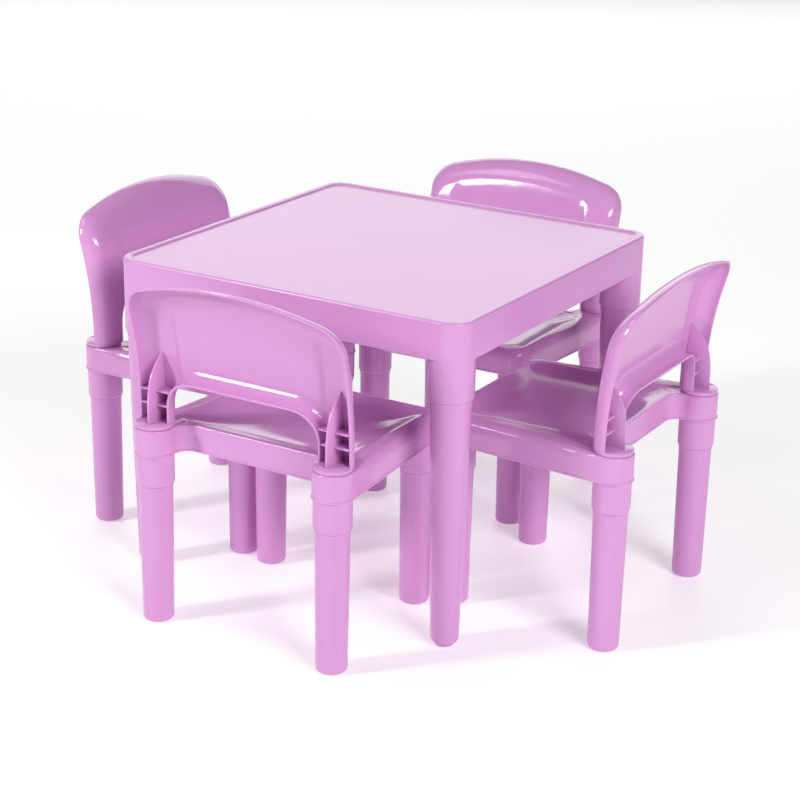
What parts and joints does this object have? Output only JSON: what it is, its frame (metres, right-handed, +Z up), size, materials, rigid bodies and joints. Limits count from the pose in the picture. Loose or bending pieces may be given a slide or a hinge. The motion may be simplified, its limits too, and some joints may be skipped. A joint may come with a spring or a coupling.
{
  "type": "kids table and chairs",
  "caption": "Square moulded plastic children's table with tapered legs and a stackable chair tucked in at each side, every chair with a dished seat and an arched backrest.",
  "frame": {"origin": "on the floor, under the middle of the whole set", "axes": "+Z up; -Y towards the front chair's backrest; +X towards the right chair's backrest"},
  "size_m": [0.8214, 0.8049, 0.4523],
  "materials": {
    "table_top_plastic": "gloss",
    "chair_plastic": "gloss",
    "leg_plastic": "gloss"
  },
  "bodies": {
    "table": {"table_top": "table_top_plastic", "table_leg_front_right": "leg_plastic", "table_leg_front_left": "leg_plastic", "table_leg_back_left": "leg_plastic", "table_leg_back_right": "leg_plastic"},
    "front_chair": {"front_chair_seat": "chair_plastic", "front_chair_backrest": "chair_plastic", "front_chair_leg_rear_left": "leg_plastic", "front_chair_leg_rear_right": "leg_plastic", "front_chair_leg_front_left": "leg_plastic", "front_chair_leg_front_right": "leg_plastic"},
    "right_chair": {"right_chair_seat": "chair_plastic", "right_chair_backrest": "chair_plastic", "right_chair_leg_rear_left": "leg_plastic", "right_chair_leg_rear_right": "leg_plastic", "right_chair_leg_front_left": "leg_plastic", "right_chair_leg_front_right": "leg_plastic"},
    "back_chair": {"back_chair_seat": "chair_plastic", "back_chair_backrest": "chair_plastic", "back_chair_leg_rear_left": "leg_plastic", "back_chair_leg_rear_right": "leg_plastic", "back_chair_leg_front_left": "leg_plastic", "back_chair_leg_front_right": "leg_plastic"},
    "left_chair": {"left_chair_seat": "chair_plastic", "left_chair_backrest": "chair_plastic", "left_chair_leg_rear_left": "leg_plastic", "left_chair_leg_rear_right": "leg_plastic", "left_chair_leg_front_left": "leg_plastic", "left_chair_leg_front_right": "leg_plastic"}
  },
  "joints": [
    {"name": "front_chair_pull", "type": "slide", "parent": "table", "child": "front_chair", "axis": [0.0035, -1, 0], "range_m": [0, 0.25]},
    {"name": "right_chair_pull", "type": "slide", "parent": "table", "child": "right_chair", "axis": [0.9999, 0.0157, 0], "range_m": [0, 0.25]},
    {"name": "back_chair_pull", "type": "slide", "parent": "table", "child": "back_chair", "axis": [-0.0244, 0.9997, 0], "range_m": [0, 0.25]},
    {"name": "left_chair_pull", "type": "slide", "parent": "table", "child": "left_chair", "axis": [-0.9999, 0.014, 0], "range_m": [0, 0.25]}
  ]
}
